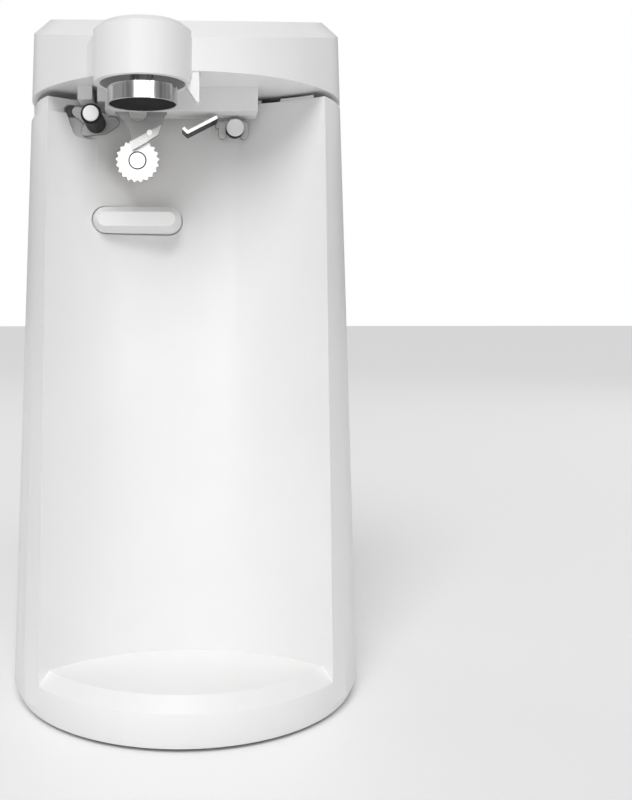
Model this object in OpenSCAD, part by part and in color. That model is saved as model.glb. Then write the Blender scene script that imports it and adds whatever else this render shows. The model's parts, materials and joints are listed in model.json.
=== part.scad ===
// Electric can opener, extra tall: a tapering body with a concave can bay,
// a hinged cutting lever across the top, and a geared shaded-pole motor inside.
// Origin: on the table, under the middle of the bounding box. The front faces -Y.
// Inside the modules heights are above the skirt and Y is from the axis of the round front.

/* [Body] */
// Radius of the round front at the skirt
base_r = 62.9; // [56:0.1:76]
// Radius of the round front at the lever seam
seam_r = 56.7; // [50:0.1:62]
// Height of the lever seam above the skirt
seam_z = 212; // [200:1:240]
// Length of the body behind the axis of the round front
rear_len = 52.4; // [46:0.1:70]
// Corner radius of the back, seen from above
rear_corner_r = 24; // [12:1:30]
// Wall of the plastic shells
wall = 2.4; // [1.8:0.1:3]
// Height of the undercut around the foot of the body
undercut_h = 4.4; // [2:0.1:7]
// How far the undercut steps in
undercut_in = 2.1; // [1:0.1:4]
// Height of the rubber feet below the skirt
foot_h = 1.5; // [1:0.1:4]

/* [Can bay] */
// Radius of the concave panel
bay_r = 68.6; // [60:0.1:80]
// Distance of the panel's deepest line from the axis, at the floor
bay_depth_floor = 18.4; // [14:0.1:26]
// The same at the top
bay_depth_top = 12.6; // [11:0.1:18]
// Height of the bay floor
floor_z = 15.9; // [14:0.1:26]
// Size of the bevel along the floor's front edge
floor_bevel = 4.3; // [2:0.1:6]
// How far the left rim ends below the lever seam
left_rim_drop = 7.7; // [4:0.1:12]
// How far the right rim ends below the lever seam
right_rim_drop = 2.2; // [1.8:0.1:4]

/* [Can rest] */
// Length of the rest across the panel
rest_len = 31; // [20:0.5:44]
// Height of the rest
rest_h = 9.2; // [6:0.1:14]
// How far the rest's front stands before the axis
rest_front = 25.6; // [22:0.1:30]
// Height of the rest's centre
rest_z = 168; // [120:1:176]

/* [Lever] */
// Slope of the lever's top, rising to the back
top_slope = 0.288; // [0.1:0.001:0.3]
// Height of the front face above the seam, at the middle
lever_face_h = 10.7; // [8:0.1:16]
// How far the top chamfer steps in
chamfer_in = 5.9; // [3:0.1:7]
// How far the top chamfer rises
chamfer_up = 5.2; // [3:0.1:7]
// Gap between the lever and the rear cover
lever_gap = 0.5; // [0.3:0.1:1]
// Distance of the lever pivot from the middle
pivot_x = 44; // [36:0.5:46]
// Height of the lever pivot above the seam
pivot_up = 5; // [4:0.1:8]
// Diameter of the lever pin
pivot_d = 4; // [3:0.1:5]

/* [Magnet boss] */
// Boss centre to the left of the middle
boss_x = 14; // [8:0.5:18]
// Boss centre before the axis
boss_y = 52.8; // [48:0.1:56]
// Outer radius of the boss
boss_r = 15.6; // [14.5:0.1:17]
// Height of the boss front above its lip
boss_h = 16.4; // [14:0.1:20]
// How far the lip hangs below the lever seam
boss_drop = 3.5; // [1:0.1:5]
// Radius of the magnet cup
cup_r = 11.1; // [9:0.1:12]
// Height of the magnet cup
cup_h = 5.4; // [4:0.1:7]
// Underside of the cup below the lever seam
cup_drop = 10; // [8:0.1:12]

/* [Cutter] */
// Number of teeth on the drive wheel
wheel_teeth = 21; // [17:1:25]
// Tip radius of the drive wheel
wheel_r = 7.65; // [6.5:0.05:9]
// Depth of the wheel's teeth
wheel_tooth = 0.95; // [0.6:0.05:1.4]
// Thickness of the drive wheel
wheel_t = 4; // [2.5:0.1:5]
// Drive wheel centre to the left of the middle
wheel_x = 17; // [12:0.5:20]
// Drive wheel centre below the lever seam
wheel_drop = 24.1; // [22:0.1:28]
// Front face of the drive wheel before the axis
wheel_front = 27.5; // [26:0.1:28]
// Diameter of the drive shaft
shaft_d = 5.4; // [4:0.1:6]
// Thickness of the cutter plate
cutter_t = 1.5; // [1:0.1:2]
// Thickness of the blade
blade_t = 0.9; // [0.6:0.1:1.2]

/* [Gear train] */
// Teeth of the motor pinion and of both cluster pinions
pinion_teeth = 10; // [10:1:12]
// Teeth of the first and second gears
gear_teeth = 50; // [44:1:54]
// Teeth of the final gear
final_teeth = 28; // [24:1:29]
// Module of the motor stage
module_1 = 0.6; // [0.5:0.05:0.65]
// Module of the middle stage
module_2 = 0.7; // [0.6:0.05:0.75]
// Module of the final stage
module_3 = 0.8; // [0.7:0.05:0.8]
// Face width of the gears
face_w = 4; // [3:0.1:4.5]
// Diameter of the fixed gear pins
gear_pin_d = 3; // [2.5:0.1:3.5]
// Running clearance on the radius of every shaft
run_gap = 0.05; // [0.03:0.01:0.1]

/* [Motor] */
// Width of the stator laminations
stator_w = 52; // [46:1:58]
// Thickness of the stack of laminations
stack_t = 16; // [12:0.5:18]
// Diameter of the rotor
rotor_d = 24; // [20:0.5:26]
// Air gap between rotor and stator
air_gap = 0.5; // [0.4:0.1:0.8]
// Diameter of the rotor shaft
rotor_shaft_d = 3.6; // [3:0.1:4]

/* [Fasteners] */
// Diameter of the screw shanks
screw_d = 3; // [2.5:0.1:3.5]
// Diameter of the screw heads
head_d = 5.6; // [5:0.1:6]

/* [Hidden] */
$fn = 96;
round_fn = 180;                                // the large round faces

white = "white";
shade = "whitesmoke";
steel = "silver";
eps = 0.01;
far = 300;
touch = 0.3;                                   // least gap beside moving faces
front_len = boss_y + boss_r;                   // the boss is the foremost piece
axis_y = (front_len - rear_len) / 2;           // centres the bounding box on the origin
taper = (base_r - seam_r) / (seam_z - undercut_h);
bevel_z = floor_z - floor_bevel;
bay_lean = (bay_depth_floor - bay_depth_top) / (seam_z - floor_z);
right_top_z = seam_z - right_rim_drop;
curb_t = 1.6;                                  // wall that stands inside the rim, under the lever
slot_x = [26.6, 33.1];                         // slot in that wall
left_top_z = seam_z - left_rim_drop;
deck_z = left_top_z - 2.9;                     // underside of the deck that closes the top

// Lever: its top is a plane that rises to the back, with a chamfer all round
edge_z = seam_z + lever_face_h + body_r(seam_z + lever_face_h) * top_slope;  // chamfer foot at the axis
top_z = edge_z + chamfer_up;
pivot = [pivot_x, seam_z + pivot_up];
ear_r = 4;
ear_y = [-14, -6.5];                           // front faces of the two housing ears
ear_t = 3;
lever_back = 1;                                // lever's rear face before the axis
floor_gap = 0.2;                               // lever's floor above the seam
lever_floor_t = 1.6;
lever_floor_z = seam_z + floor_gap;
lever_floor_top = lever_floor_z + lever_floor_t;
lever_screw_at = [[-40, -8], [-8, -8], [24, -8]];

// Boss, magnet and its ball joint
boss_at = [-boss_x, -boss_y];
lip_z = seam_z - boss_drop;
boss_edge_z = lip_z + boss_h;
boss_chamfer = 2.4;
boss_rise = 1.9;                               // how far its chamfer rises
boss_wall = 2;
ceiling_z = boss_edge_z - 4;
cup_z = seam_z - cup_drop;
ball_r = 2.6;
ball_z = cup_z + cup_h + ball_r;
neck_d = 3.4;

// Cutter bar under the lever
bar = [[-30.3, 24.2], [-33.3, -18.6], [seam_z - 7.9, lever_floor_top]];
bar_step = [-20, -22.8];                       // left of this the bar is thinner, clear of the guide plate
rib = [[-36.9, -32], [-33.3, -23], [seam_z - 4.4, lever_floor_top]];
cutter_front = -bar[1][0] - 2.9;               // front face of the cutter plate before the axis
wheel_z = seam_z - wheel_drop;
pocket_y = -20.6;                              // floor of the guide plate's pocket
guide_t = 1.8;
left_post = [-31.7, seam_z - 10.55];
left_post_r = 3.4;
right_post = [16.85, seam_z - 12];
right_post_r = 3.2;

// Gear train: every axis runs front to back, and each centre is found from the one before
d_3 = module_3 * (final_teeth + pinion_teeth) / 2;
d_2 = module_2 * (gear_teeth + pinion_teeth) / 2;
d_1 = module_1 * (gear_teeth + pinion_teeth) / 2;
lean_3 = 40;                                   // each step's lean from straight down
lean_2 = 15;
lean_1 = 6;
c_final = [-wheel_x, wheel_z];
c_second = c_final + d_3 * [sin(lean_3), -cos(lean_3)];
c_first = c_second + d_2 * [sin(lean_2), -cos(lean_2)];
c_rotor = c_first + d_1 * [sin(lean_1), -cos(lean_1)];
plate_t = 1.6;
plate_y = -9.6;                                // front face of the gearbox
layer = face_w + 0.8;                          // pitch of the gear layers along the shafts
layer_y = [for (i = [0:2]) plate_y + plate_t + 0.6 + i * layer];
rear_plate_y = layer_y[2] + layer + 0.4;
spacer_at = [c_final + [-19, -17], c_second + [25, 9], c_first + [-23, -9], c_first + [24, -6]];
spacer_d = 6.4;

// Motor
stator_y = rear_plate_y + plate_t + 5;
stator_back = stator_y + stack_t;
bracket_y = stator_back + 7;
limb_h = 10;                                   // limb of the laminations that carries the coil
window_h = 15;
window_w = 30;
ring_w = 8;                                    // laminations left around the rotor and the window
coil_t = 6;
bore_r = rotor_d / 2 + air_gap;
window_top = c_rotor[1] - bore_r - 5;
limb_top = window_top - window_h;
motor_screw_at = [for (s = [-1, 1]) c_rotor + [s * (stator_w / 2 - 5), 0]];
bobbin_w = window_w - 2;

// Small parts of the lever, the guides and the motor
bush_d = shaft_d + 4;
gland_z = 12;
gland_d = 11;
gland_in = wall + undercut_in;                 // its flange stands against the wall's inner face
cord_bore_d = 6.6;
rest_x = -17.4;
rest_base_y = -14;
rest_draft = 4.3;
rest_taper = 4;                                // depth of the tapered front of the rest
cap_y = 40.5;                                  // the left post's cap starts here, before the axis
right_plate_y = -20.4;
right_cap_y = -24.5;
strip_y = [-30, right_plate_y];
pin_d = 3;
pin_tip = -15.5;                               // blind end of the right post's pin, before the axis
strip_low = [0.3, seam_z - 14.6];
strip_turn = 27.6;
strip_len = 11.4;
strip_t = 1.1;
boss_arc = 67;                                 // half-angle of the boss's round nose
flare_w = 17.6;
disc_t = 3;
cup_rim = 0.5;
blade_tip = [-18.7, seam_z - 21.2];
rivet_at = [-12.7, seam_z - 15.1];
rivet_d = 1.9;
base_plate_r = base_r - undercut_in - wall - 0.3;
bearing_d = 8;
fan_y = bracket_y + plate_t + 3;
flare_in = boss_r * sin(boss_arc) - 0.4;

// Fasteners and feet
cover_screw_at = [[-38, 28], [38, 28], [-43, 158], [43, 158]];
post_d = screw_d + 4.4;
seat_y = 14;                                   // where the cover screws' heads sit
base_t = 2.4;
base_screw_at = [[-34, -34], [34, -34], [-53.5, 16], [53.5, 16]];
foot_at = [[-42, -18], [42, -18], [-40, 34], [40, 34]];
foot_r = 7;

// Switch under the deck, pressed by the lever's floor
switch_at = [-35, -9];
switch_size = [11, 8, 9];
switch_gap = 3;                                // from the deck to the switch body
plunger_d = 4;
plunger_stroke = 1.5;
plunger_top = lever_floor_z - (pivot_x - switch_at[0]) * sin(1.2) - 0.15;

function body_r(z) = base_r - (base_r - seam_r) / (seam_z - undercut_h) * (z - undercut_h);
function bay_y(z) = -bay_depth_floor + bay_lean * (z - floor_z);
// Y of the panel's face at a distance from the middle and a height
function panel_y(x, z) = bay_y(z) - bay_r + sqrt(bay_r * bay_r - x * x);
function lever_z(y) = edge_z + top_slope * y;
// Front end of a gearbox screw, short of the panel
function screw_tip(p) = max(plate_y - 8, panel_y(p[0], p[1]) + wall);

module place() translate([0, axis_y, foot_h]) children();
// Turns a piece drawn along Z at the origin to lie along Y from y, at p in X and Z
module along_y(p, y) translate([p[0], y, p[1]]) rotate([-90, 0, 0]) children();
module rod(p, y0, y1, d) along_y(p, y0) cylinder(h = y1 - y0, d = d);
// A drawing in X and Z, given thickness from y0 back to y1
module slab(y0, y1) translate([0, y1, 0]) rotate([90, 0, 0]) linear_extrude(y1 - y0) children();
module block(x, y, z) translate([x[0], y[0], z[0]]) cube([x[1] - x[0], y[1] - y[0], z[1] - z[0]]);
module dot(p, r) translate(p) circle(r, $fn = 64);

// ---- Outer forms ----

// The round front as a true cone, from z0 to z1, inset by d
module front_cone(z0, z1, d = 0)
    translate([0, 0, z0])
        cylinder(h = z1 - z0, r1 = body_r(z0) - d, r2 = body_r(z1) - d, $fn = round_fn);

module before(y) block([-far, far], [-far, y], [-far, far]);
module below(z) block([-far, far], [-far, far], [-far, z]);

// Plan of the part behind the axis for a half-width r, inset by d
module rear_plan(r, d)
    union() {
        translate([-(r - d), 0]) square([2 * (r - d), rear_len - rear_corner_r]);
        translate([-(r - rear_corner_r), 0]) square([2 * (r - rear_corner_r), rear_len - d]);
        for (s = [-1, 1]) translate([s * (r - rear_corner_r), rear_len - rear_corner_r])
            circle(rear_corner_r - d, $fn = 64);
    }

module slice(z, d, r) translate([0, 0, z]) linear_extrude(eps) rear_plan(r, d);

// The leaning cylinder that hollows out the bay above z0, grown by d
module bay_cylinder(z0, d = 0)
    intersection() {
        translate([0, bay_y(z0) - bay_r, z0]) rotate([-atan(bay_lean), 0, 0])
            translate([0, 0, -20]) cylinder(h = far, r = bay_r + d, $fn = round_fn);
        block([-far, far], [-far, far], [z0, far]);
    }

// The bay: the cylinder above the floor, and the bevel along the floor's front edge
module bay_cut()
    difference() {
        bay_cylinder(bevel_z);
        translate([0, 0, bevel_z - 1])
            cylinder(h = floor_bevel + 1, r1 = body_r(bevel_z) + 1,
                r2 = body_r(bevel_z) - floor_bevel, $fn = round_fn);
    }

// ---- Housing ----

module pocket_shape(grow = 0)
    hull() {
        dot([-40.6, seam_z - 6], 1.4 + grow);
        dot([-36.4, seam_z - 12.6], 3.2 + grow);
        dot([-29.5, seam_z - 12.4], 3.4 + grow);
        dot([-24, seam_z - 8.5], 3 + grow);
    }

module housing_shell()
    difference() {
        intersection() {
            union() {
                front_cone(undercut_h, right_top_z);
                cylinder(h = undercut_h, r1 = base_r - undercut_in, r2 = base_r, $fn = round_fn);
            }
            before(0);
        }
        difference() {
            intersection() {
                front_cone(-1, seam_z, wall + undercut_in / 2);
                before(1);
            }
            bay_cylinder(floor_z - wall, wall);
        }
    }

// Everything behind the panel and inside the cone, where posts and ribs may stand
module inside_shell()
    intersection() {
        front_cone(0, deck_z + wall, wall / 2);
        before(0);
        children();
    }

module hinge_ear()
    union() {
        dot(pivot, ear_r);
        translate([pivot[0] - ear_r, deck_z + 1]) square([2 * ear_r, pivot[1] - deck_z - 1]);
    }

// A thin wall just inside the rim, from x0 to x1, that follows the round front and the panel
module curb(x0, x1, z0, z1, d, bay_d)
    difference() {
        intersection() {
            front_cone(z0, z1, d);
            block([x0, x1], [-far, 0], [z0, z1]);
        }
        bay_cylinder(z0 - 1, bay_d);
        difference() {
            front_cone(z0 - 1, z1 + 1, d + curb_t);
            bay_cylinder(z0 - 2, bay_d + curb_t);
        }
    }

module front_housing() color(white) place() {
    housing_form();
    difference() {
        curb(-far, bar[0][0] - 0.7, left_top_z - 2, seam_z - 2.3, 1.2, 2.2);
        slab(-45, pocket_y) pocket_shape(0.5);
    }
    difference() {
        curb(bar[0][1] + 0.8, pivot[0], right_top_z - 1.5, seam_z - 0.9, 0.8, 0.8);
        block(slot_x, [-60, 0], [seam_z - 1.9, far]);
    }
}

module housing_form() difference() {
    union() {
        housing_shell();
        inside_shell() block([-far, far], [-far, 0], [deck_z, deck_z + wall]);
        for (y = ear_y) slab(y, y + ear_t) hinge_ear();
        inside_shell() slab(-32, pocket_y + wall) pocket_shape(wall);
        rod(c_final, panel_y(wheel_x, wheel_z), plate_y, shaft_d + 10);
        for (p = cover_screw_at) rod(p, panel_y(p[0], p[1]) + wall / 2, 0, post_d);
        for (p = spacer_at) rod(p, panel_y(p[0], p[1]) + wall / 2, plate_y, post_d);
        for (p = base_screw_at) if (p[1] < 0) translate([p[0], p[1], base_t])
            cylinder(h = floor_z - wall / 2 - base_t, d = post_d);
    }
    bay_cut();
    // the left rim ends lower, to leave room for the lever's stroke
    block([-far, bar[0][0]], [-far, far], [left_top_z, far]);
    slab(-45, pocket_y) pocket_shape();
    rest_form();
    // groove round the can rest
    intersection() {
        bay_cylinder(bevel_z, 1.2);
        slab(-60, 0) pill(rest_len + 0.8, rest_h + 0.8);
    }
    rod(c_final, -40, 0, bush_d);
    for (p = cover_screw_at) rod(p, -10, 1, screw_d);
    for (p = spacer_at) rod(p, screw_tip(p), 1, screw_d);
    rod(right_post, pin_tip, 0, pin_d);
    for (p = base_screw_at) translate([p[0], p[1], 0]) cylinder(h = 11, d = screw_d);
    for (y = ear_y) rod(pivot, y - 1, y + ear_t + 1, pivot_d);
    translate([switch_at[0], switch_at[1], deck_z - 1]) cylinder(h = wall + 2, d = plunger_d + 1);
}

module rear_outer()
    union() {
        hull() {
            slice(undercut_h, 0, body_r(undercut_h));
            slice(edge_z, 0, body_r(edge_z));
        }
        hull() {
            slice(edge_z - eps, 0, body_r(edge_z));
            slice(top_z - eps, chamfer_in, body_r(edge_z));
        }
        hull() {
            slice(0, undercut_in, base_r);
            slice(undercut_h, 0, base_r);
        }
    }

module rear_cover() color(white) place() difference() {
    union() {
        difference() {
            rear_outer();
            hull() {
                slice(-1, wall + undercut_in, base_r);
                slice(edge_z - 1, wall, body_r(edge_z));
            }
            hull() {
                slice(edge_z - 1.5, wall, body_r(edge_z));
                slice(top_z - wall, chamfer_in + 1, body_r(edge_z));
            }
        }
        // wall behind the lever
        intersection() {
            block([-far, far], [0, wall], [deck_z, edge_z]);
            front_cone(0, edge_z, wall / 2);
        }
        block((body_r(edge_z) - chamfer_in - 1) * [-1, 1], [0, wall], [edge_z - 1, top_z - wall / 2]);
        for (p = cover_screw_at) rod(p, 0, rear_len - 4, post_d + 2);
        for (p = base_screw_at) if (p[1] > 0) translate([p[0], p[1], base_t])
            cylinder(h = 12, d = post_d);
        for (s = [0, 1]) mirror([s, 0, 0])
            block([base_screw_at[3][0], base_r - wall - 1],
                [base_screw_at[3][1] - 1.5, base_screw_at[3][1] + 1.5], [base_t, base_t + 12]);
    }
    for (p = cover_screw_at) {
        rod(p, -1, far, screw_d);
        rod(p, seat_y, far, head_d + 0.8);
    }
    for (p = base_screw_at) translate([p[0], p[1], -1]) cylinder(h = 12, d = screw_d);
    rod([0, gland_z], rear_len - 10, rear_len + 5, gland_d);
    for (i = [-4:4]) block([i * 7 - 1.3, i * 7 + 1.3], [rear_len - 10, rear_len + 5], [96, 150]);
}

module base_plate() color(shade) place() difference() {
    union() {
        intersection() {
            cylinder(h = base_t, r = base_plate_r, $fn = round_fn);
            before(0);
        }
        linear_extrude(base_t) rear_plan(base_r, undercut_in + wall + 0.3);
    }
    for (p = base_screw_at) translate([p[0], p[1], -1]) cylinder(h = base_t + 2, d = screw_d);
    for (p = base_screw_at) translate([p[0], p[1], -1]) cylinder(h = 2.2, d = head_d + 0.6);
}

module rubber_feet() color("dimgray") place()
    for (p = foot_at) translate([p[0], p[1], -foot_h]) {
        cylinder(h = foot_h, r = foot_r);
    }

module base_screws() color(steel) place()
    for (p = base_screw_at) translate([p[0], p[1], 0.2]) {
        cylinder(h = 1, d = head_d);
        cylinder(h = 10, d = screw_d);
    }

module cover_screws() color(steel) place()
    for (p = cover_screw_at) {
        rod(p, -9, seat_y, screw_d);
        rod(p, seat_y, seat_y + 2, head_d);
    }

module cord_gland() color("dimgray") place() difference() {
    union() {
        rod([0, gland_z], rear_len - gland_in, rear_len + 0.2, gland_d);
        rod([0, gland_z], rear_len - gland_in - 2.4, rear_len - gland_in, gland_d + 4);
    }
    rod([0, gland_z], rear_len - 12, rear_len + 5, cord_bore_d);
}

// ---- Can rest and guides on the panel ----

module pill(long, high)
    translate([rest_x, rest_z]) union() {
        square([long - high, high], center = true);
        for (s = [-1, 1]) translate([s * (long - high) / 2, 0]) circle(high / 2, $fn = 48);
    }

module rest_form()
    union() {
        hull() {
            slab(-rest_front + rest_taper, -rest_front + rest_taper + eps) pill(rest_len, rest_h);
            slab(-rest_front, -rest_front + eps) pill(rest_len - rest_draft, rest_h - rest_draft);
        }
        slab(-rest_front + rest_taper - eps, rest_base_y) pill(rest_len, rest_h);
    }

module can_rest() color(white) place() rest_form();

module left_guide_plate() color(steel) place()
    slab(pocket_y - guide_t, pocket_y) difference() {
        union() {
            hull() { dot([-38.2, seam_z - 6.4], 1.9); dot([-33, seam_z - 9], 3); }
            hull() {
                dot([-35.2, seam_z - 13.2], 1.7);
                dot([-29, seam_z - 12.1], 2);
                dot([-25.4, seam_z - 9.9], 1.8);
                dot([-32, seam_z - 8.4], 2.4);
            }
        }
        dot(left_post, 1.5);
    }

module left_guide_post() color("dimgray") place() {
    rod(left_post, -cap_y, pocket_y - guide_t, 2 * left_post_r);
    rod(left_post, pocket_y - guide_t, pocket_y, 3);
}

module post_cap() color(white) place() {
    rod(left_post, -cap_y - 1, -cap_y, 2 * left_post_r - 1.5);
    rod(right_post, right_cap_y - 1, right_cap_y, 2 * right_post_r - 0.2);
}

module right_guide_form()
    slab(right_plate_y, right_plate_y + guide_t) union() {
        for (x = [-4.3, 3.3]) hull() {
            dot(right_post + [x, -1.95], 1.45);
            dot(right_post + [x, 1.9], 1.45);
        }
        translate(right_post + [-6.9, 0.5]) square([10.2, 2.7]);
    }

module right_guide_plate() color(steel) place() difference() {
    right_guide_form();
    rod(right_post, right_plate_y - 1, 0, pin_d);
}

module right_guide_post() color("dimgray") place() {
    rod(right_post, right_cap_y, right_plate_y, 2 * right_post_r);
    rod(right_post, right_plate_y, pin_tip, pin_d);
}

// Bent strip under the bar that steers the can's rim
module strip_form()
    slab(strip_y[0], strip_y[1]) union() {
        translate(strip_low) rotate(strip_turn) translate([0, -strip_t / 2]) square([strip_len, strip_t]);
        translate(strip_low) rotate(strip_turn + 110) translate([0, -strip_t / 2]) square([2.2, strip_t]);
        dot(strip_low, strip_t / 2);
    }

module guide_strip() color(steel) place() strip_form();

// ---- Lever ----

// A level or tilted slice of the lever's plan, cut off behind y = -back
module lever_slice(z, r, back, tilt)
    multmatrix([[1, 0, 0, 0], [0, 1, 0, 0], [0, tilt, 1, z], [0, 0, 0, 1]])
        linear_extrude(eps) intersection() {
            translate([0, -tilt * taper * r]) circle(r, $fn = 128);
            translate([-far, -far]) square([2 * far, far - back]);
        }

// The lever's outer form, inset by d: upright faces, then a chamfer up to the tilted top
module lever_form(z0, d)
    hull() {
        lever_slice(z0, body_r(z0) - d, lever_back + d, 0);
        lever_slice(edge_z - d / 2, body_r(edge_z) - d, lever_back + d, top_slope);
        lever_slice(top_z - eps - d, body_r(edge_z) - chamfer_in - d / 2, lever_back + d, top_slope);
    }

// Boss for the magnet: round, with a flare into the lever's face
module boss_form()
    union() {
        translate([boss_at[0], boss_at[1], lip_z]) rotate_extrude($fn = 128)
            polygon([[0, 0], [boss_r, 0], [boss_r, boss_h], [boss_r - boss_chamfer, boss_h + boss_rise],
                [0, boss_h + boss_rise]]);
        hull() {
            translate([boss_at[0] - flare_in, boss_at[1] - boss_r * cos(boss_arc), lip_z])
                cube([2 * flare_in, eps, boss_h - 0.6]);
            translate([boss_at[0] - flare_w, boss_at[1] - 1, seam_z]) cube([2 * flare_w, eps, 8.6]);
            translate([boss_at[0] - boss_r - 0.5, boss_at[1] + 5, seam_z])
                cube([2 * boss_r + 1, eps, boss_h - 6]);
        }
        // gusset at the right of the boss
        slab(boss_at[1] - 3.5, boss_at[1] + 1) polygon([[boss_at[0] + 13.6, lip_z + 2],
            [boss_at[0] + 13.6, lip_z - 1], [boss_at[0] + 17.1, cup_z + 0.4],
            [boss_at[0] + 18, cup_z + 0.4], [boss_at[0] + 18, seam_z + 3], [boss_at[0] + 13.6, seam_z + 3]]);
    }

module lever_cover() color(white) place() difference() {
    union() {
        difference() {
            lever_form(seam_z, 0);
            lever_form(seam_z - 1, wall);
        }
        boss_form();
        intersection() {
            for (p = lever_screw_at) translate([p[0], p[1], lever_floor_top])
                cylinder(h = top_z - 1 - lever_floor_top + p[1] * top_slope, d = post_d);
            cylinder(h = far, r = seam_r - wall / 2);
        }
    }
    // room for the magnet, round and open at the bottom
    translate([boss_at[0], boss_at[1], seam_z - 20])
        cylinder(h = ceiling_z - seam_z + 20, r = boss_r - boss_wall, $fn = 128);
    for (p = lever_screw_at) translate([p[0], p[1], lever_floor_top - 1]) cylinder(h = 11, d = screw_d);
    translate([boss_at[0], boss_at[1], ceiling_z - 1]) cylinder(h = 3, d = neck_d);
}

module lever_base() color(white) place() difference() {
    union() {
        intersection() {
            front_cone(lever_floor_z, lever_floor_top, wall + 0.1);
            before(-lever_back - wall - 0.1);
        }
        block([bar[0][0], bar_step[0]], [bar[1][0], bar_step[1]], bar[2]);
        block([bar_step[0], bar[0][1]], bar[1], bar[2]);
        block(rib[0], rib[1], rib[2]);
        slab(ear_y[0] + ear_t + touch, ear_y[1] - touch) union() {
            dot(pivot, ear_r);
            translate([pivot[0] - ear_r, lever_floor_z]) square([2 * ear_r, pivot[1] - lever_floor_z]);
        }
    }
    translate([boss_at[0], boss_at[1], seam_z - 5]) cylinder(h = 12, r = boss_r + 0.1, $fn = 128);
    block([boss_at[0], boss_at[0] + 18.3], [-far, boss_at[1] + 5.2], [seam_z - 1, lever_floor_top + 1]);
    for (p = lever_screw_at) translate([p[0], p[1], seam_z - 1]) cylinder(h = 5, d = screw_d);
    // slots for the housing's two ears
    for (y = ear_y) block([pivot[0] - ear_r - 1.2, pivot[0] + ear_r + 1.2],
        [y - touch, y + ear_t + touch], [seam_z - 1, pivot[1]]);
    for (y = ear_y) slab(y - touch, y + ear_t + touch) dot(pivot, ear_r + 1.2);
    rod(pivot, ear_y[0], ear_y[1] + ear_t, pivot_d + 2 * run_gap);
    slab(-cutter_front, -cutter_front + cutter_t) plate_top();
    // notch for the left post, as deep as the lever's stroke needs
    block([left_post[0] - left_post_r - 0.6, left_post[0] + left_post_r + 0.6],
        [-cap_y - 2, 0], [0, left_post[1] + left_post_r + 2.1]);
}

module lever_screws() color(steel) place()
    for (p = lever_screw_at) translate([p[0], p[1], lever_floor_z - 1.2]) {
        cylinder(h = 1.2, d = head_d);
        cylinder(h = 10, d = screw_d);
    }

module lever_pin() color(steel) place() {
    rod(pivot, ear_y[0], ear_y[1] + ear_t, pivot_d);
    rod(pivot, ear_y[0] - 0.8, ear_y[0], pivot_d + 1.6);
}

module magnet_stem() color(steel) place() translate([boss_at[0], boss_at[1], 0]) {
    translate([0, 0, ball_z]) sphere(ball_r);
    translate([0, 0, ball_z]) cylinder(h = ceiling_z + 2 - ball_z, d = neck_d);
    translate([0, 0, ceiling_z - 2]) cylinder(h = 2, d = neck_d + 4);
}

module magnet_cup() color(steel) place() translate([boss_at[0], boss_at[1], 0]) difference() {
    union() {
        translate([0, 0, cup_z]) cylinder(h = cup_h, r = cup_r);
        translate([0, 0, cup_z + cup_h]) cylinder(h = 2 * ball_r - 1, r = ball_r + 1.6);
    }
    translate([0, 0, cup_z - 1]) cylinder(h = 1 + disc_t, r = cup_r - cup_rim);
    translate([0, 0, ball_z]) sphere(ball_r + run_gap);
    translate([0, 0, ball_z]) cylinder(h = 10, d = neck_d + 1.1);
}

module magnet_disc() color("dimgray") place() translate([boss_at[0], boss_at[1], cup_z])
    cylinder(h = disc_t, r = cup_r - cup_rim);

// The part of the cutter plate that sits in the bar
module plate_top() translate([-24.4, bar[2][0] - 0.7]) square([17.6, 7.6]);

module plate_outline() union() {
    difference() {
        translate([-23.6, seam_z - 8.6]) square([16.2, 0.6]);
        translate([-16.7, seam_z - 8]) circle(3.1);
    }
    difference() {
        polygon([[-23.65, seam_z - 8.57], [-22.5, seam_z - 10.1], [-20.3, seam_z - 13.1],
            [-19.5, seam_z - 14.6],
            [-19.2, seam_z - 16.4], [-19.07, seam_z - 18.1], blade_tip, [-9.8, seam_z - 15.8],
            [-8.55, seam_z - 12.3], [-7.3, seam_z - 8.57]]);
        translate([-16.7, seam_z - 8]) circle(3.1);
        translate(rivet_at) circle(d = rivet_d);
    }
}

module cutter_plate() color("gray") place()
    slab(-cutter_front, -cutter_front + cutter_t) difference() {
        union() {
            plate_outline();
            plate_top();
        }
        translate([-16.7, seam_z - 8]) circle(3.1);
        translate(rivet_at) circle(d = rivet_d);
    }

module cutting_blade() color(steel) place()
    slab(-cutter_front - blade_t, -cutter_front) difference() {
        polygon([blade_tip, [-9.8, seam_z - 15.8], [-8.55, seam_z - 12.3], [-19.1, seam_z - 18.1]]);
        translate(rivet_at) circle(d = rivet_d);
    }

module blade_rivet() color(steel) place()
    rod(rivet_at, -cutter_front - blade_t - 0.3, -cutter_front + cutter_t, rivet_d);

// ---- Drive ----

// Drawing of a gear with straight-flanked teeth; one tooth points along turn
module gear_shape(m, z, turn) {
    pitch = m * z / 2;
    rotate(turn) union() {
        circle(pitch - 1.2 * m, $fn = 4 * z);
        for (i = [0:z - 1]) rotate(i * 360 / z) polygon([
            [pitch - 1.35 * m, -0.95 * m], [pitch, -0.68 * m], [pitch + 0.85 * m, -0.32 * m],
            [pitch + 0.85 * m, 0.32 * m], [pitch, 0.68 * m], [pitch - 1.35 * m, 0.95 * m]]);
    }
}

// Direction of one centre seen from another, and a gear turned to mesh along it
function toward(a, b) = atan2(b[1] - a[1], b[0] - a[0]);
module gear_at(c, mate, m, z, gap)
    translate(c) gear_shape(m, z, toward(c, mate) + (gap ? 180 / z : 0));

module drive_wheel() color(steel) place()
    slab(-wheel_front, -wheel_front + wheel_t) translate(c_final) difference() {
        polygon([for (i = [0:2 * wheel_teeth - 1])
            (i % 2 == 0 ? wheel_r : wheel_r - wheel_tooth)
                * [cos(90 + i * 180 / wheel_teeth), sin(90 + i * 180 / wheel_teeth)]]);
        circle(d = shaft_d);
    }

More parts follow.
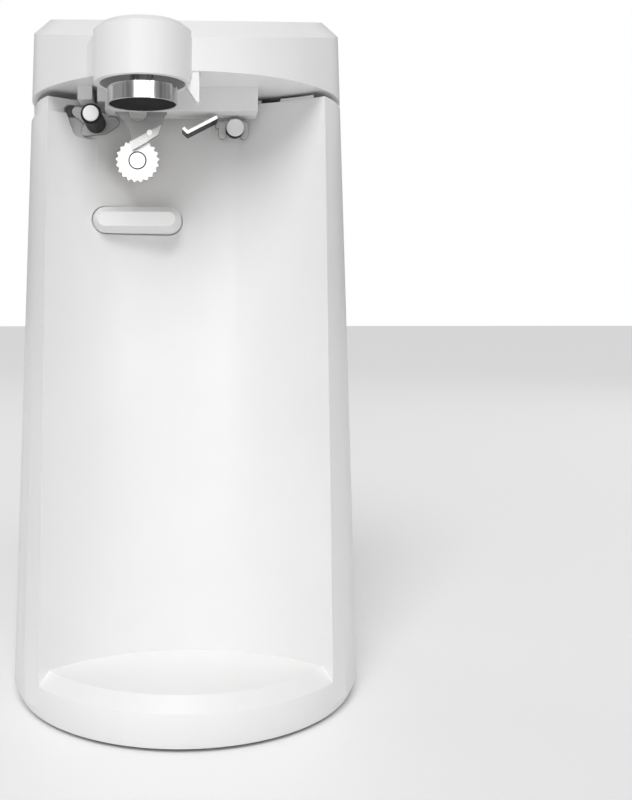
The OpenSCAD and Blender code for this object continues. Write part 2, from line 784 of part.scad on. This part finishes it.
module drive_shaft() color(steel) place() {
    rod(c_final, -wheel_front - 0.4, layer_y[0] + face_w, shaft_d);
    rod(c_final, -wheel_front + wheel_t, -wheel_front + wheel_t + 0.8, shaft_d + 2.4);
}

module shaft_bush() color("goldenrod") place() difference() {
    rod(c_final, -wheel_front + wheel_t + 1, plate_y + plate_t, bush_d);
    rod(c_final, -60, 0, shaft_d + 2 * run_gap);
}

module final_gear() color("ivory") place() slab(layer_y[0], layer_y[0] + face_w) difference() {
    gear_at(c_final, c_second, module_3, final_teeth, true);
    translate(c_final) circle(d = shaft_d);
}

// A large gear and a pinion in one piece, free on a fixed pin
module cluster(c, before_c, after_c, m_gear, m_pinion, gear_layer, pinion_layer)
    difference() {
        union() {
            slab(layer_y[gear_layer], layer_y[gear_layer] + face_w)
                gear_at(c, before_c, m_gear, gear_teeth, true);
            slab(layer_y[pinion_layer], layer_y[pinion_layer] + face_w + 0.4)
                gear_at(c, after_c, m_pinion, pinion_teeth, false);
            rod(c, plate_y + plate_t + 0.3, rear_plate_y - 0.3, gear_pin_d + 2.4);
        }
        rod(c, -60, 60, gear_pin_d + 2 * run_gap);
    }

module second_gear() color("ivory") place()
    cluster(c_second, c_first, c_final, module_2, module_3, 1, 0);

module first_gear() color("ivory") place()
    cluster(c_first, c_rotor, c_second, module_1, module_2, 2, 1);

module gear_pins() color(steel) place()
    for (c = [c_second, c_first]) rod(c, plate_y, rear_plate_y + plate_t, gear_pin_d);

module gearbox_front_plate() color(steel) place() slab(plate_y, plate_y + plate_t) difference() {
    hull() {
        for (p = concat([c_final, c_second, c_first], spacer_at)) dot(p, 5.5);
    }
    translate(c_final) circle(d = bush_d);
    for (c = [c_second, c_first]) translate(c) circle(d = gear_pin_d);
    for (p = spacer_at) translate(p) circle(d = screw_d + 0.3);
}

module gearbox_rear_plate() color(steel) place() slab(rear_plate_y, rear_plate_y + plate_t) difference() {
    hull() {
        for (p = concat([c_second, c_first], spacer_at, motor_screw_at)) dot(p, 5.5);
    }
    for (c = [c_second, c_first]) translate(c) circle(d = gear_pin_d);
    translate(c_rotor) circle(d = bearing_d);
    for (p = spacer_at) translate(p) circle(d = screw_d + 0.3);
    for (p = motor_screw_at) translate(p) circle(d = screw_d);
}

module gearbox_spacers() color(steel) place()
    for (p = spacer_at) difference() {
        rod(p, plate_y + plate_t, rear_plate_y, spacer_d);
        rod(p, -60, 60, screw_d + 0.3);
    }

module gearbox_screws() color(steel) place()
    for (p = spacer_at) {
        rod(p, screw_tip(p), rear_plate_y + plate_t, screw_d);
        rod(p, rear_plate_y + plate_t, rear_plate_y + plate_t + 1.8, head_d);
    }

// ---- Motor ----

module rotor() color("gray") place() difference() {
    rod(c_rotor, stator_y - 0.5, stator_back + 0.5, rotor_d);
    rod(c_rotor, -60, 100, rotor_shaft_d);
}

module rotor_shaft() color(steel) place() {
    rod(c_rotor, layer_y[2] - 0.5, bracket_y + plate_t + 9, rotor_shaft_d);
    slab(layer_y[2], layer_y[2] + face_w) difference() {
        gear_at(c_rotor, c_first, module_1, pinion_teeth, false);
        translate(c_rotor) circle(d = rotor_shaft_d - 0.6);
    }
}

module rotor_fan() color("lightgray") place() difference() {
    union() {
        rod(c_rotor, fan_y, fan_y + 6, 9);
        rod(c_rotor, fan_y, fan_y + 1.2, 34);
        for (i = [0:8]) along_y(c_rotor, fan_y) rotate(i * 40) translate([4, -0.6, 0]) cube([13, 1.2, 6]);
    }
    rod(c_rotor, -60, 100, rotor_shaft_d);
}

module motor_stator() color("gray") place() slab(stator_y, stator_back) difference() {
    translate([c_rotor[0] - stator_w / 2, limb_top - limb_h])
        square([stator_w, c_rotor[1] + bore_r + ring_w - limb_top + limb_h]);
    translate(c_rotor) circle(bore_r);
    translate([c_rotor[0] - window_w / 2, limb_top]) square([window_w, window_h]);
    for (p = motor_screw_at) translate(p) circle(d = screw_d + 0.3);
}

// A block round the limb, from d inside to d outside, of width w about x
module round_limb(x, w, inner, outer)
    difference() {
        block([x - w / 2, x + w / 2], [stator_y - outer, stator_back + outer],
            [limb_top - limb_h - outer, limb_top + outer]);
        block([x - far, x + far], [stator_y - inner, stator_back + inner],
            [limb_top - limb_h - inner, limb_top + inner]);
    }

module coil_bobbin() color("ivory") place() {
    round_limb(c_rotor[0], bobbin_w, 0, 1);
    for (s = [-1, 1]) round_limb(c_rotor[0] + s * (bobbin_w / 2 - 0.6), 1.2, 0, coil_t + 1.6);
}

module motor_coil() color("peru") place() round_limb(c_rotor[0], bobbin_w - 2.4, 1, coil_t);

module motor_bracket() color(steel) place() slab(bracket_y, bracket_y + plate_t) difference() {
    union() {
        hull() for (p = motor_screw_at) dot(p, 5.5);
        dot(c_rotor, 9);
    }
    translate(c_rotor) circle(d = bearing_d);
    for (p = motor_screw_at) translate(p) circle(d = screw_d + 0.3);
}

module motor_spacers() color(steel) place()
    for (p = motor_screw_at) difference() {
        union() {
            rod(p, rear_plate_y + plate_t, stator_y, spacer_d);
            rod(p, stator_back, bracket_y, spacer_d);
        }
        rod(p, -60, 100, screw_d + 0.3);
    }

module motor_bearings() color("goldenrod") place()
    for (y = [rear_plate_y, bracket_y]) difference() {
        union() {
            rod(c_rotor, y, y + plate_t, bearing_d);
            rod(c_rotor, y + plate_t, y + plate_t + 1.6, bearing_d + 3);
        }
        rod(c_rotor, -60, 100, rotor_shaft_d + 2 * run_gap);
    }

module motor_screws() color(steel) place()
    for (p = motor_screw_at) {
        rod(p, rear_plate_y, bracket_y + plate_t, screw_d);
        rod(p, bracket_y + plate_t, bracket_y + plate_t + 1.8, head_d);
    }

// ---- Switch ----

module switch_body() color("dimgray") place() difference() {
    translate([switch_at[0] - switch_size[0] / 2, switch_at[1] - switch_size[1] / 2,
        deck_z - switch_gap - switch_size[2]]) union() {
            cube(switch_size);
            for (x = [0, switch_size[0] - 2]) translate([x, 0, 0])
                cube([2, switch_size[1], switch_size[2] + switch_gap]);
        }
    translate([switch_at[0], switch_at[1], deck_z - switch_gap - 6])
        cylinder(h = 20, d = plunger_d + 2 * run_gap);
}

module switch_plunger() color("lightgray") place() translate([switch_at[0], switch_at[1], 0]) {
    translate([0, 0, deck_z - switch_gap - 6 + plunger_stroke + 0.3])
        cylinder(h = plunger_top - deck_z + switch_gap + 6 - plunger_stroke - 0.3, d = plunger_d);
}

front_housing();
rear_cover();
base_plate();
rubber_feet();
base_screws();
cover_screws();
cord_gland();
can_rest();
lever_cover();
lever_base();
lever_screws();
lever_pin();
magnet_stem();
magnet_cup();
magnet_disc();
cutter_plate();
cutting_blade();
blade_rivet();
drive_wheel();
drive_shaft();
shaft_bush();
left_guide_plate();
left_guide_post();
post_cap();
right_guide_plate();
right_guide_post();
guide_strip();
gearbox_front_plate();
gearbox_rear_plate();
gearbox_spacers();
gearbox_screws();
final_gear();
second_gear();
first_gear();
gear_pins();
rotor();
rotor_shaft();
rotor_fan();
motor_stator();
motor_coil();
coil_bobbin();
motor_bracket();
motor_spacers();
motor_bearings();
motor_screws();
switch_body();
switch_plunger();
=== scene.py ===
import json
import math
import bmesh
import bpy
from mathutils import Matrix, Vector


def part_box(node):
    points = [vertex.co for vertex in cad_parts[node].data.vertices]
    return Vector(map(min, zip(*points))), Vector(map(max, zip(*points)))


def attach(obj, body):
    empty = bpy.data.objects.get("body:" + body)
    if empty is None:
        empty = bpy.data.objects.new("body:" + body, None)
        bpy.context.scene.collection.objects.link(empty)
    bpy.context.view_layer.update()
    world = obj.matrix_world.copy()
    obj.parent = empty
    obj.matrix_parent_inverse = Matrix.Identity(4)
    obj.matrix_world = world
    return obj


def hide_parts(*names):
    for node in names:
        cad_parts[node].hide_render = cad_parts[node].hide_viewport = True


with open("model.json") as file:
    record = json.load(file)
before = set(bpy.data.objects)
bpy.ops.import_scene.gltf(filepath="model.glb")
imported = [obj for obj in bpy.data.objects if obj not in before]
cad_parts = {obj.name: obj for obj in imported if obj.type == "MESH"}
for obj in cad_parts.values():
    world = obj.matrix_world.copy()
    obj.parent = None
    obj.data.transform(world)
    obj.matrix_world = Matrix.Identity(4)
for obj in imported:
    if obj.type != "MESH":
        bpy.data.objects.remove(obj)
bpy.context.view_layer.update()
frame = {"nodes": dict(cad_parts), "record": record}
nodes = frame["nodes"]
mm = 0.001


# shader maths

class Wire:  # one socket that takes part in sums
    def __init__(self, paint, socket):
        self.paint = paint
        self.socket = socket

    def join(self, operation, other, turned=False):
        pair = (other, self) if turned else (self, other)
        return self.paint.node("Math", {"operation": operation}, {0: pair[0], 1: pair[1]})

    def __add__(self, other):
        return self.join("ADD", other)

    def __radd__(self, other):
        return self.join("ADD", other, True)

    def __sub__(self, other):
        return self.join("SUBTRACT", other)

    def __rsub__(self, other):
        return self.join("SUBTRACT", other, True)

    def __mul__(self, other):
        return self.join("MULTIPLY", other)

    def __rmul__(self, other):
        return self.join("MULTIPLY", other, True)

    def __truediv__(self, other):
        return self.join("DIVIDE", other)

    def __pow__(self, other):
        return self.join("POWER", other)


class Paint:  # a material and the nodes that colour it
    def __init__(self, name):
        self.material = bpy.data.materials.new(name)
        self.material.use_nodes = True
        self.tree = self.material.node_tree
        self.tree.nodes.clear()
        self.shader = self.tree.nodes.new("ShaderNodeBsdfPrincipled")
        output = self.tree.nodes.new("ShaderNodeOutputMaterial")
        self.tree.links.new(self.shader.outputs["BSDF"], output.inputs["Surface"])
        self.place = self.node("TexCoord", {}, {}, "Object")

    def node(self, kind, settings, values, output=0):
        made = self.tree.nodes.new("ShaderNode" + kind)
        for key, value in settings.items():
            if key == "stops":
                ramp = made.color_ramp
                while len(ramp.elements) < len(value):
                    ramp.elements.new(0.5)
                for element, (position, tone) in zip(ramp.elements, value):
                    element.position = position
                    element.color = tone if len(tone) == 4 else (*tone, 1)
            else:
                setattr(made, key, value)
        for key, value in values.items():
            if isinstance(value, Wire):
                self.tree.links.new(value.socket, made.inputs[key])
            else:
                made.inputs[key].default_value = value
        return Wire(self, made.outputs[output])

    def stretched(self, scale, turn=(0, 0, 0), shift=(0, 0, 0)):
        return self.node("Mapping", {}, {"Vector": self.place, "Scale": scale, "Rotation": turn, "Location": shift})

    def noise(self, scale, detail=2.0, rough=0.5, vector=None, warp=0.0):
        return self.node("TexNoise", {}, {"Vector": vector or self.place, "Scale": scale, "Detail": detail,
                                          "Roughness": rough, "Distortion": warp}, "Fac")

    def ramp(self, value, *stops):
        tones = [(position, (tone, tone, tone)) for position, tone in stops]
        return self.node("ValToRGB", {"stops": tones}, {"Fac": value}, "Color")

    def blend(self, factor, first, second):
        return self.node("Mix", {"data_type": "RGBA"}, {0: factor, 6: colour(first), 7: colour(second)}, 2)

    def bump(self, height, depth, strength=1.0, under=None):
        values = {"Strength": strength, "Distance": depth, "Height": height}
        if under:
            values["Normal"] = under
        return self.node("Bump", {}, values)

    def finish(self, **sockets):
        names = {"base": "Base Color", "rough": "Roughness", "metal": "Metallic", "normal": "Normal",
                 "coat": "Coat Weight", "coatRough": "Coat Roughness", "ior": "IOR", "specular": "Specular IOR Level",
                 "scatter": "Subsurface Weight", "scatterScale": "Subsurface Scale", "anisotropic": "Anisotropic"}
        for key, value in sockets.items():
            socket = self.shader.inputs[names[key]]
            if isinstance(value, Wire):
                self.tree.links.new(value.socket, socket)
            else:
                socket.default_value = colour(value)
        return self.material


def colour(value):
    if isinstance(value, (tuple, list)) and len(value) == 3:
        return (*value, 1)
    return value


# finishes, one for each material slot in the record

shellPlastic = {"tone": (0.840, 0.842, 0.840), "shadeTone": (0.800, 0.802, 0.797), "rough": 0.34, "grain": 2600,
                "grainDepth": 0.000012}


def mouldedPlastic(name, tone, shadeTone, rough, grain, grainDepth, handled=0.05):
    paint = Paint(name)
    cloud = paint.noise(22, 3, 0.55)
    drift = paint.noise(90, 4, 0.6, warp=0.3)
    spark = paint.noise(grain, 2, 0.6)
    flow = paint.noise(8, 4, 0.65, paint.stretched((1.0, 1.0, 0.12)), 0.6)   # faint flow of the melt
    tint = paint.ramp(cloud * 0.6 + flow * 0.4, (0.32, 0.0), (0.68, 1.0))
    speck = paint.ramp(paint.noise(900, 1, 0.4), (0.70, 0.0), (0.78, 1.0))
    base = paint.blend(tint, tone, shadeTone)
    base = paint.blend(speck * 0.10, base, tuple(part * 0.86 for part in tone))
    smear = paint.ramp(drift, (0.35, 0.0), (0.75, 1.0))
    scratch = paint.ramp(paint.noise(60, 5, 0.75, paint.stretched((26, 26, 1.2), (0.3, 0.2, 0.5))),
                         (0.60, 0.0), (0.66, 1.0))
    dimple = paint.bump(spark, grainDepth, 0.55)
    wave = paint.bump(flow, grainDepth * 14, 0.12, dimple)
    return paint.finish(base=base, rough=rough - 0.04 + spark * 0.05 + smear * handled + scratch * 0.05, normal=wave,
                        ior=1.5)


def brushedMetal(name, tone, darkTone, rough, lineScale, lineDepth, direction=(1, 60, 60), turn=(0, 0, 0), metal=1.0):
    paint = Paint(name)
    along = paint.stretched(direction, turn)
    line = paint.noise(lineScale, 3, 0.7, along)
    broad = paint.noise(lineScale * 0.12, 2, 0.5, along)
    stain = paint.noise(70, 4, 0.6, warp=0.4)
    pit = paint.ramp(paint.noise(2400, 1, 0.3), (0.72, 0.0), (0.80, 1.0))
    base = paint.blend(paint.ramp(line * 0.65 + broad * 0.35, (0.3, 0.0), (0.7, 1.0)), darkTone, tone)
    base = paint.blend(paint.ramp(stain, (0.55, 0.0), (0.85, 0.35)), base, tuple(part * 0.75 for part in tone))
    lines = paint.bump(line, lineDepth, 0.5)
    return paint.finish(base=base, metal=metal, rough=rough - 0.07 + line * 0.12 + stain * 0.06 + pit * 0.1,
                        normal=paint.bump(pit, -lineDepth, 0.3, lines))


def sinteredMetal(name, tone, darkTone, rough, metal=0.9):
    paint = Paint(name)
    grain = paint.noise(1500, 3, 0.65)
    pore = paint.ramp(paint.node("TexVoronoi", {}, {"Vector": paint.place, "Scale": 1300}, "Distance"),
                      (0.10, 1.0), (0.26, 0.0))
    cloud = paint.noise(140, 3, 0.6)
    base = paint.blend(paint.ramp(cloud * 0.5 + grain * 0.5, (0.3, 0.0), (0.7, 1.0)), darkTone, tone)
    base = paint.blend(pore * 0.35, base, tuple(part * 0.4 for part in darkTone))
    return paint.finish(base=base, metal=metal, rough=rough + grain * 0.12 + pore * 0.2,
                        normal=paint.bump(grain - pore, 0.00002, 0.6))


# darkTone here is the dark band of a painted reflection on the chrome cup
magnetSteel = {"tone": (0.90, 0.90, 0.89), "darkTone": (0.33, 0.33, 0.33), "rough": 0.13, "centre": (-0.014, -0.0448)}


def turnedChrome(name, tone, darkTone, rough, centre):
    paint = Paint(name)
    round = paint.stretched((1, 1, 0.02), shift=(-centre[0], -centre[1], 0))
    paintedReflectionBand = paint.noise(210, 2, 0.55, round)
    thread = paint.noise(900, 2, 0.6, round)
    haze = paint.noise(420, 4, 0.7)
    ring = paint.noise(2600, 2, 0.5, paint.stretched((0.02, 0.02, 1)))
    # vertical bands between darkTone and tone in the base colour are a painted reflection of the room; the finer
    # thread noise is mixed in
    base = paint.blend(paint.ramp(paintedReflectionBand * 0.8 + thread * 0.2, (0.38, 0.0), (0.60, 1.0)), darkTone, tone)
    return paint.finish(base=base, metal=1.0, rough=rough + haze * 0.06 + thread * 0.06,
                        normal=paint.bump(ring, 0.000006, 0.4, paint.bump(thread, 0.00001, 0.35)))


def darkMoulding(name, tone, rough, grain, depth, specular=0.2):
    paint = Paint(name)
    fine = paint.noise(grain, 3, 0.65)
    dust = paint.ramp(paint.noise(240, 5, 0.7), (0.55, 0.0), (0.85, 1.0))
    cloud = paint.noise(45, 3, 0.5)
    base = paint.blend(paint.ramp(cloud, (0.35, 0.0), (0.7, 1.0)), tone, tuple(part * 1.5 + 0.004 for part in tone))
    base = paint.blend(dust * 0.07, base, (0.12, 0.118, 0.115))
    return paint.finish(base=base, rough=rough + fine * 0.14 + dust * 0.1, specular=specular,
                        normal=paint.bump(fine, depth, 0.6))


def striped(name, tone, darkTone, pitch, axisTurn, metal, rough, depth):
    paint = Paint(name)
    band = paint.node("TexWave", {"wave_type": "BANDS", "bands_direction": axisTurn, "wave_profile": "SIN"},
                      {"Vector": paint.place, "Scale": 0.314 / pitch, "Distortion": 0.25, "Detail": 1.0,
                       "Detail Scale": 1.0}, "Fac")
    cloud = paint.noise(130, 4, 0.6)
    fine = paint.noise(1800, 2, 0.6)
    base = paint.blend(paint.ramp(band * 0.7 + cloud * 0.3, (0.2, 0.0), (0.75, 1.0)), darkTone, tone)
    return paint.finish(base=base, metal=metal, rough=rough + fine * 0.12 + cloud * 0.1,
                        normal=paint.bump(band, depth, 0.8, paint.bump(fine, 0.000008, 0.4)))


finishes = {
    "white_shell": mouldedPlastic("satinShell", **shellPlastic),
    "grey_plastic": mouldedPlastic("paleUnderside", (0.60, 0.60, 0.595), (0.56, 0.56, 0.55), 0.46, 1900, 0.00002),
    "black_plastic": darkMoulding("blackMoulding", (0.012, 0.012, 0.013), 0.40, 2200, 0.000015,
                                  specular=0.08),
    "rubber_black": darkMoulding("footRubber", (0.022, 0.022, 0.022), 0.66, 1300, 0.00004),
    "cutter_steel": brushedMetal("cutterSteel", (0.36, 0.36, 0.357), (0.24, 0.24, 0.24), 0.40, 55, 0.00001,
                                 metal=0.9),
    "blade_steel": brushedMetal("groundBlade", (0.86, 0.86, 0.85), (0.70, 0.70, 0.69), 0.22, 60, 0.00001,
                                (60, 60, 1), (0, 0.7, 0), 0.55),
    "wheel_steel": sinteredMetal("pressedWheel", (0.95, 0.95, 0.945), (0.86, 0.86, 0.855), 0.34, 1.0),
    "magnet_chrome": turnedChrome("magnetCup", **magnetSteel),
    "magnet_ferrite": darkMoulding("ferrite", (0.014, 0.014, 0.015), 0.55, 1700, 0.00002, specular=0.03),
    "screw_steel": brushedMetal("zincScrew", (0.56, 0.57, 0.58), (0.40, 0.41, 0.42), 0.30, 120, 0.000008,
                                (8, 8, 8)),
    "frame_steel": brushedMetal("zincPlate", (0.56, 0.58, 0.60), (0.44, 0.46, 0.49), 0.32, 45, 0.00001, (1, 30, 8)),
    "laminations": striped("laminations", (0.34, 0.35, 0.37), (0.15, 0.16, 0.18), 0.0006, "Y", 0.8, 0.36, 0.00006),
    "copper_wire": striped("windings", (0.60, 0.24, 0.09), (0.22, 0.06, 0.02), 0.0005, "Z", 0.7, 0.28, 0.00012),
    "rotor_metal": sinteredMetal("castRotor", (0.72, 0.72, 0.73), (0.52, 0.52, 0.53), 0.36),
    "gear_nylon": mouldedPlastic("gearNylon", (0.76, 0.73, 0.62), (0.68, 0.64, 0.52), 0.40, 1500, 0.00002),
    "bronze": sinteredMetal("oiledBronze", (0.60, 0.40, 0.18), (0.34, 0.20, 0.08), 0.30),
}
def stripSteel(name, brightTone, darkTone):  # polished metal on faces not turned down; faces turned down are painted near-black as painted shade
    paint = Paint(name)
    facing = paint.node("SeparateXYZ", {}, {0: paint.node("NewGeometry", {}, {}, "Normal")}, "Z")
    litSideMask = paint.ramp(facing * 0.5 + 0.5, (0.30, 0.0), (0.42, 1.0))
    line = paint.noise(70, 3, 0.7, paint.stretched((60, 1, 60)))
    # where litSideMask is 0 (faces turned down) the base becomes darkTone, a near-black painted shade, and the metal
    # value drops with it
    base = paint.blend(litSideMask, darkTone, brightTone)
    base = paint.blend(line * 0.25, base, tuple(part * 0.7 for part in brightTone))
    return paint.finish(base=paint.blend(litSideMask, darkTone, base), metal=litSideMask * 0.9, rough=0.22 + line * 0.1,
                        specular=0.03, normal=paint.bump(line, 0.00001, 0.4))


# the second, near-black tone is the painted shade for the strip's underside
stripFinish = stripSteel("stripSteel", (0.92, 0.92, 0.91), (0.012, 0.012, 0.012))
for part in frame["record"]["subparts"]:
    piece = nodes[part["node"]]
    piece.data.materials.clear()
    piece.data.materials.append(finishes[part["material_slot"]])
nodes["guide_strip"].data.materials[0] = stripFinish
slotOf = {part["node"]: part["material_slot"] for part in frame["record"]["subparts"]}
bodyOf = {node: body for body, members in frame["record"]["behaviour"]["bodies"].items() for node in members}
print("finishes made:", len(finishes))


# pieces

def linked(name, mesh):
    piece = bpy.data.objects.new(name, mesh)
    bpy.context.scene.collection.objects.link(piece)
    return piece


def shaded(piece, sharpAngle=32):
    mesh = piece.data
    if "custom_normal" in mesh.attributes:
        mesh.attributes.remove(mesh.attributes["custom_normal"])
    for face in mesh.polygons:
        face.use_smooth = True
    mesh.set_sharp_from_angle(angle=math.radians(sharpAngle))


def rounded(node, name, width, segments=2, sharpAngle=28, weld=0.000004):
    mesh = nodes[node].data.copy()
    shape = bmesh.new()
    shape.from_mesh(mesh)
    bmesh.ops.remove_doubles(shape, verts=shape.verts, dist=weld)
    bmesh.ops.dissolve_degenerate(shape, edges=shape.edges, dist=weld)
    bmesh.ops.dissolve_limit(shape, angle_limit=math.radians(0.4), verts=shape.verts, edges=shape.edges)
    shape.to_mesh(mesh)
    shape.free()
    piece = linked(name, mesh)
    piece.data.materials.clear()
    piece.data.materials.append(finishes[slotOf[node]])
    shaded(piece, sharpAngle)
    bevel = piece.modifiers.new("softEdges", "BEVEL")
    bevel.width = width
    bevel.segments = segments
    bevel.limit_method = "ANGLE"
    bevel.angle_limit = math.radians(sharpAngle)
    bevel.harden_normals = True
    bevel.use_clamp_overlap = True
    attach(piece, bodyOf[node])
    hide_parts(node)
    return piece


softEdges = {"front_housing": ("housingShell", 0.0009, 3), "rear_cover": ("backShell", 0.0007, 3),
             "lever_cover": ("leverShell", 0.0006, 3), "can_rest": ("canRest", 0.0009, 4),
             "lever_base": ("leverFloor", 0.0004, 2), "magnet_cup": ("magnetCup", 0.00035, 3),
             "magnet_disc": ("magnetDisc", 0.0002, 2), "drive_wheel": ("driveWheel", 0.00012, 2),
             "cutter_plate": ("cutterPlate", 0.00015, 2), "left_guide_plate": ("leftGuide", 0.00015, 2),
             "right_guide_plate": ("rightGuide", 0.00015, 2), "post_cap": ("postCap", 0.0005, 3),
             "left_guide_post": ("leftPost", 0.0003, 2), "right_guide_post": ("rightPost", 0.0003, 2),
             "rubber_feet": ("tableFeet", 0.0004, 2), "base_plate": ("undersidePlate", 0.0003, 2),
             "cord_gland": ("cordGland", 0.0004, 2)}
for node, (name, width, segments) in softEdges.items():
    rounded(node, name, width, segments)
print("shells softened:", len(softEdges))


def finished(name, shape, body, slot, sharpAngle=32, material=None):
    bmesh.ops.remove_doubles(shape, verts=shape.verts, dist=0.000001)
    bmesh.ops.recalc_face_normals(shape, faces=shape.faces)
    mesh = bpy.data.meshes.new(name)
    shape.to_mesh(mesh)
    shape.free()
    piece = linked(name, mesh)
    mesh.materials.append(material or finishes[slot])
    shaded(piece, sharpAngle)
    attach(piece, body)
    return piece


def ringAlongY(shape, place, inner, outer, back, front, steps=64):  # a washer spun about Y
    corners = [shape.verts.new((place[0] + radius, y, place[1]))
               for radius, y in ((inner, back), (outer, back), (outer, front), (inner, front))]
    section = shape.faces.new(corners)
    bmesh.ops.spin(shape, geom=[section, *section.edges, *section.verts], cent=(place[0], 0, place[1]),
                   axis=(0, 1, 0), angle=math.tau, steps=steps, use_merge=True, use_duplicate=False)
    inside = [face for face in shape.faces if abs(face.normal.y) < 0.001 and face == section]
    bmesh.ops.delete(shape, geom=inside, context="FACES_ONLY")


hub = {"inner": 2.62 * mm, "outer": 3.12 * mm, "proud": 0.06 * mm}


def hubRing():  # a thin black ring laid over the groove between the wheel and the end of its shaft, as painted shade
    low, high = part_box("drive_shaft")
    wheelLow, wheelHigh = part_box("drive_wheel")
    place = ((wheelLow.x + wheelHigh.x) / 2, (wheelLow.z + wheelHigh.z) / 2)
    shape = bmesh.new()
    ringAlongY(shape, place, hub["inner"], hub["outer"], wheelLow.y + 0.3 * mm, wheelLow.y - hub["proud"])
    return finished("hubRing", shape, "drive", "black_plastic")


label = {"width": 46 * mm, "height": 24 * mm, "thick": 0.16 * mm, "centreZ": 62 * mm, "corner": 2.5 * mm}


def blankPlate():  # an empty foil plate low on the back
    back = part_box("rear_cover")[1].y
    shape = bmesh.new()
    bmesh.ops.create_cube(shape, size=1)
    bmesh.ops.scale(shape, vec=(label["width"], label["thick"], label["height"]), verts=shape.verts)
    upright = [edge for edge in shape.edges if abs((edge.verts[0].co - edge.verts[1].co).y) > label["thick"] / 2]
    bmesh.ops.bevel(shape, geom=upright, offset=label["corner"], segments=6, profile=0.5, affect="EDGES", material=-1)
    bmesh.ops.translate(shape, vec=(0, back + label["thick"] / 2 - 0.02 * mm, label["centreZ"]), verts=shape.verts)
    return finished("blankPlate", shape, "housing", "frame_steel")


# black ring standing in for the painted shade of the hub groove
hubRing()
blankPlate()
print("small pieces made")

# floor, lights and camera

room = {"floorTone": (0.95, 0.95, 0.95), "skyStrength": 0.27, "keyStrength": 2.25, "keySpread": 36,
        "keyTurn": (44, 0, -6), "stripPower": 1.6, "cardPower": 6.5, "sidePower": 1.3}


def floorFinish():
    paint = Paint("studioFloor")
    cloud = paint.noise(3, 3, 0.5)
    fine = paint.noise(600, 2, 0.6)
    base = paint.blend(cloud, room["floorTone"], tuple(part * 0.985 for part in room["floorTone"]))
    return paint.finish(base=base, rough=0.55 + fine * 0.1, normal=paint.bump(fine, 0.00005, 0.1))


floorMesh = bpy.data.meshes.new("studioFloor")
floorShape = bmesh.new()
bmesh.ops.create_grid(floorShape, x_segments=1, y_segments=1, size=6)
floorShape.to_mesh(floorMesh)
floorShape.free()
floor = linked("studioFloor", floorMesh)
floorMesh.materials.append(floorFinish())


def softLight(name, place, target, width, height, power):
    data = bpy.data.lights.new(name, "AREA")
    data.shape = "RECTANGLE"
    data.size = width
    data.size_y = height
    data.energy = power
    lamp = bpy.data.objects.new(name, data)
    bpy.context.scene.collection.objects.link(lamp)
    lamp.location = place
    lamp.rotation_euler = (Vector(target) - Vector(place)).to_track_quat("-Z", "Y").to_euler()
    return lamp


keyData = bpy.data.lights.new("highKey", "SUN")
keyData.energy = room["keyStrength"]
keyData.angle = math.radians(room["keySpread"])
key = bpy.data.objects.new("highKey", keyData)
bpy.context.scene.collection.objects.link(key)
key.rotation_euler = [math.radians(part) for part in room["keyTurn"]]
softLight("leftStrip", (-0.42, -1.15, 0.16), (0, 0, 0.2), 0.12, 0.8, room["stripPower"])
softLight("rightStrip", (0.62, -1.0, 0.16), (0, 0, 0.2), 0.10, 0.8, room["stripPower"])
softLight("frontCard", (0.0, -1.7, 0.22), (0, 0, 0.16), 1.5, 0.9, room["cardPower"])
for name in ("leftStrip", "rightStrip", "frontCard"):
    bpy.data.objects[name].visible_diffuse = False   # only there to shine in the metal
softLight("backLeft", (-0.9, 0.7, 0.8), (0, 0, 0.12), 0.8, 0.8, room["sidePower"])
softLight("backRight", (0.9, 0.7, 0.8), (0, 0, 0.12), 0.8, 0.8, room["sidePower"])

world = bpy.data.worlds.new("paleRoom")
world.use_nodes = True
bpy.context.scene.world = world
sky = world.node_tree.nodes["Background"]
seen = world.node_tree.nodes.new("ShaderNodeBackground")
seen.inputs["Color"].default_value = (1, 1, 1, 1)
seen.inputs["Strength"].default_value = 1.0
sky.inputs["Color"].default_value = (1, 1, 1, 1)
sky.inputs["Strength"].default_value = room["skyStrength"]
pathKind = world.node_tree.nodes.new("ShaderNodeLightPath")
either = world.node_tree.nodes.new("ShaderNodeMixShader")
worldLinks = world.node_tree.links
worldLinks.new(pathKind.outputs["Is Camera Ray"], either.inputs["Fac"])
worldLinks.new(sky.outputs[0], either.inputs[1])
worldLinks.new(seen.outputs[0], either.inputs[2])
worldLinks.new(either.outputs[0], world.node_tree.nodes["World Output"].inputs["Surface"])

view = {"place": (0.00075, -0.3547, 0.1397), "turn": (90, 0, -2.3), "lens": 43.65, "shift": (0.11, -0.119)}
camera = bpy.data.objects.new("camera", bpy.data.cameras.new("camera"))
bpy.context.scene.collection.objects.link(camera)
camera.location = view["place"]
camera.rotation_euler = [math.radians(part) for part in view["turn"]]
camera.data.lens = view["lens"]
camera.data.shift_x, camera.data.shift_y = view["shift"]
camera.data.clip_start = 0.01
bpy.context.scene.camera = camera
bpy.context.scene.view_settings.view_transform = "Standard"
print("floor, lights and camera set")
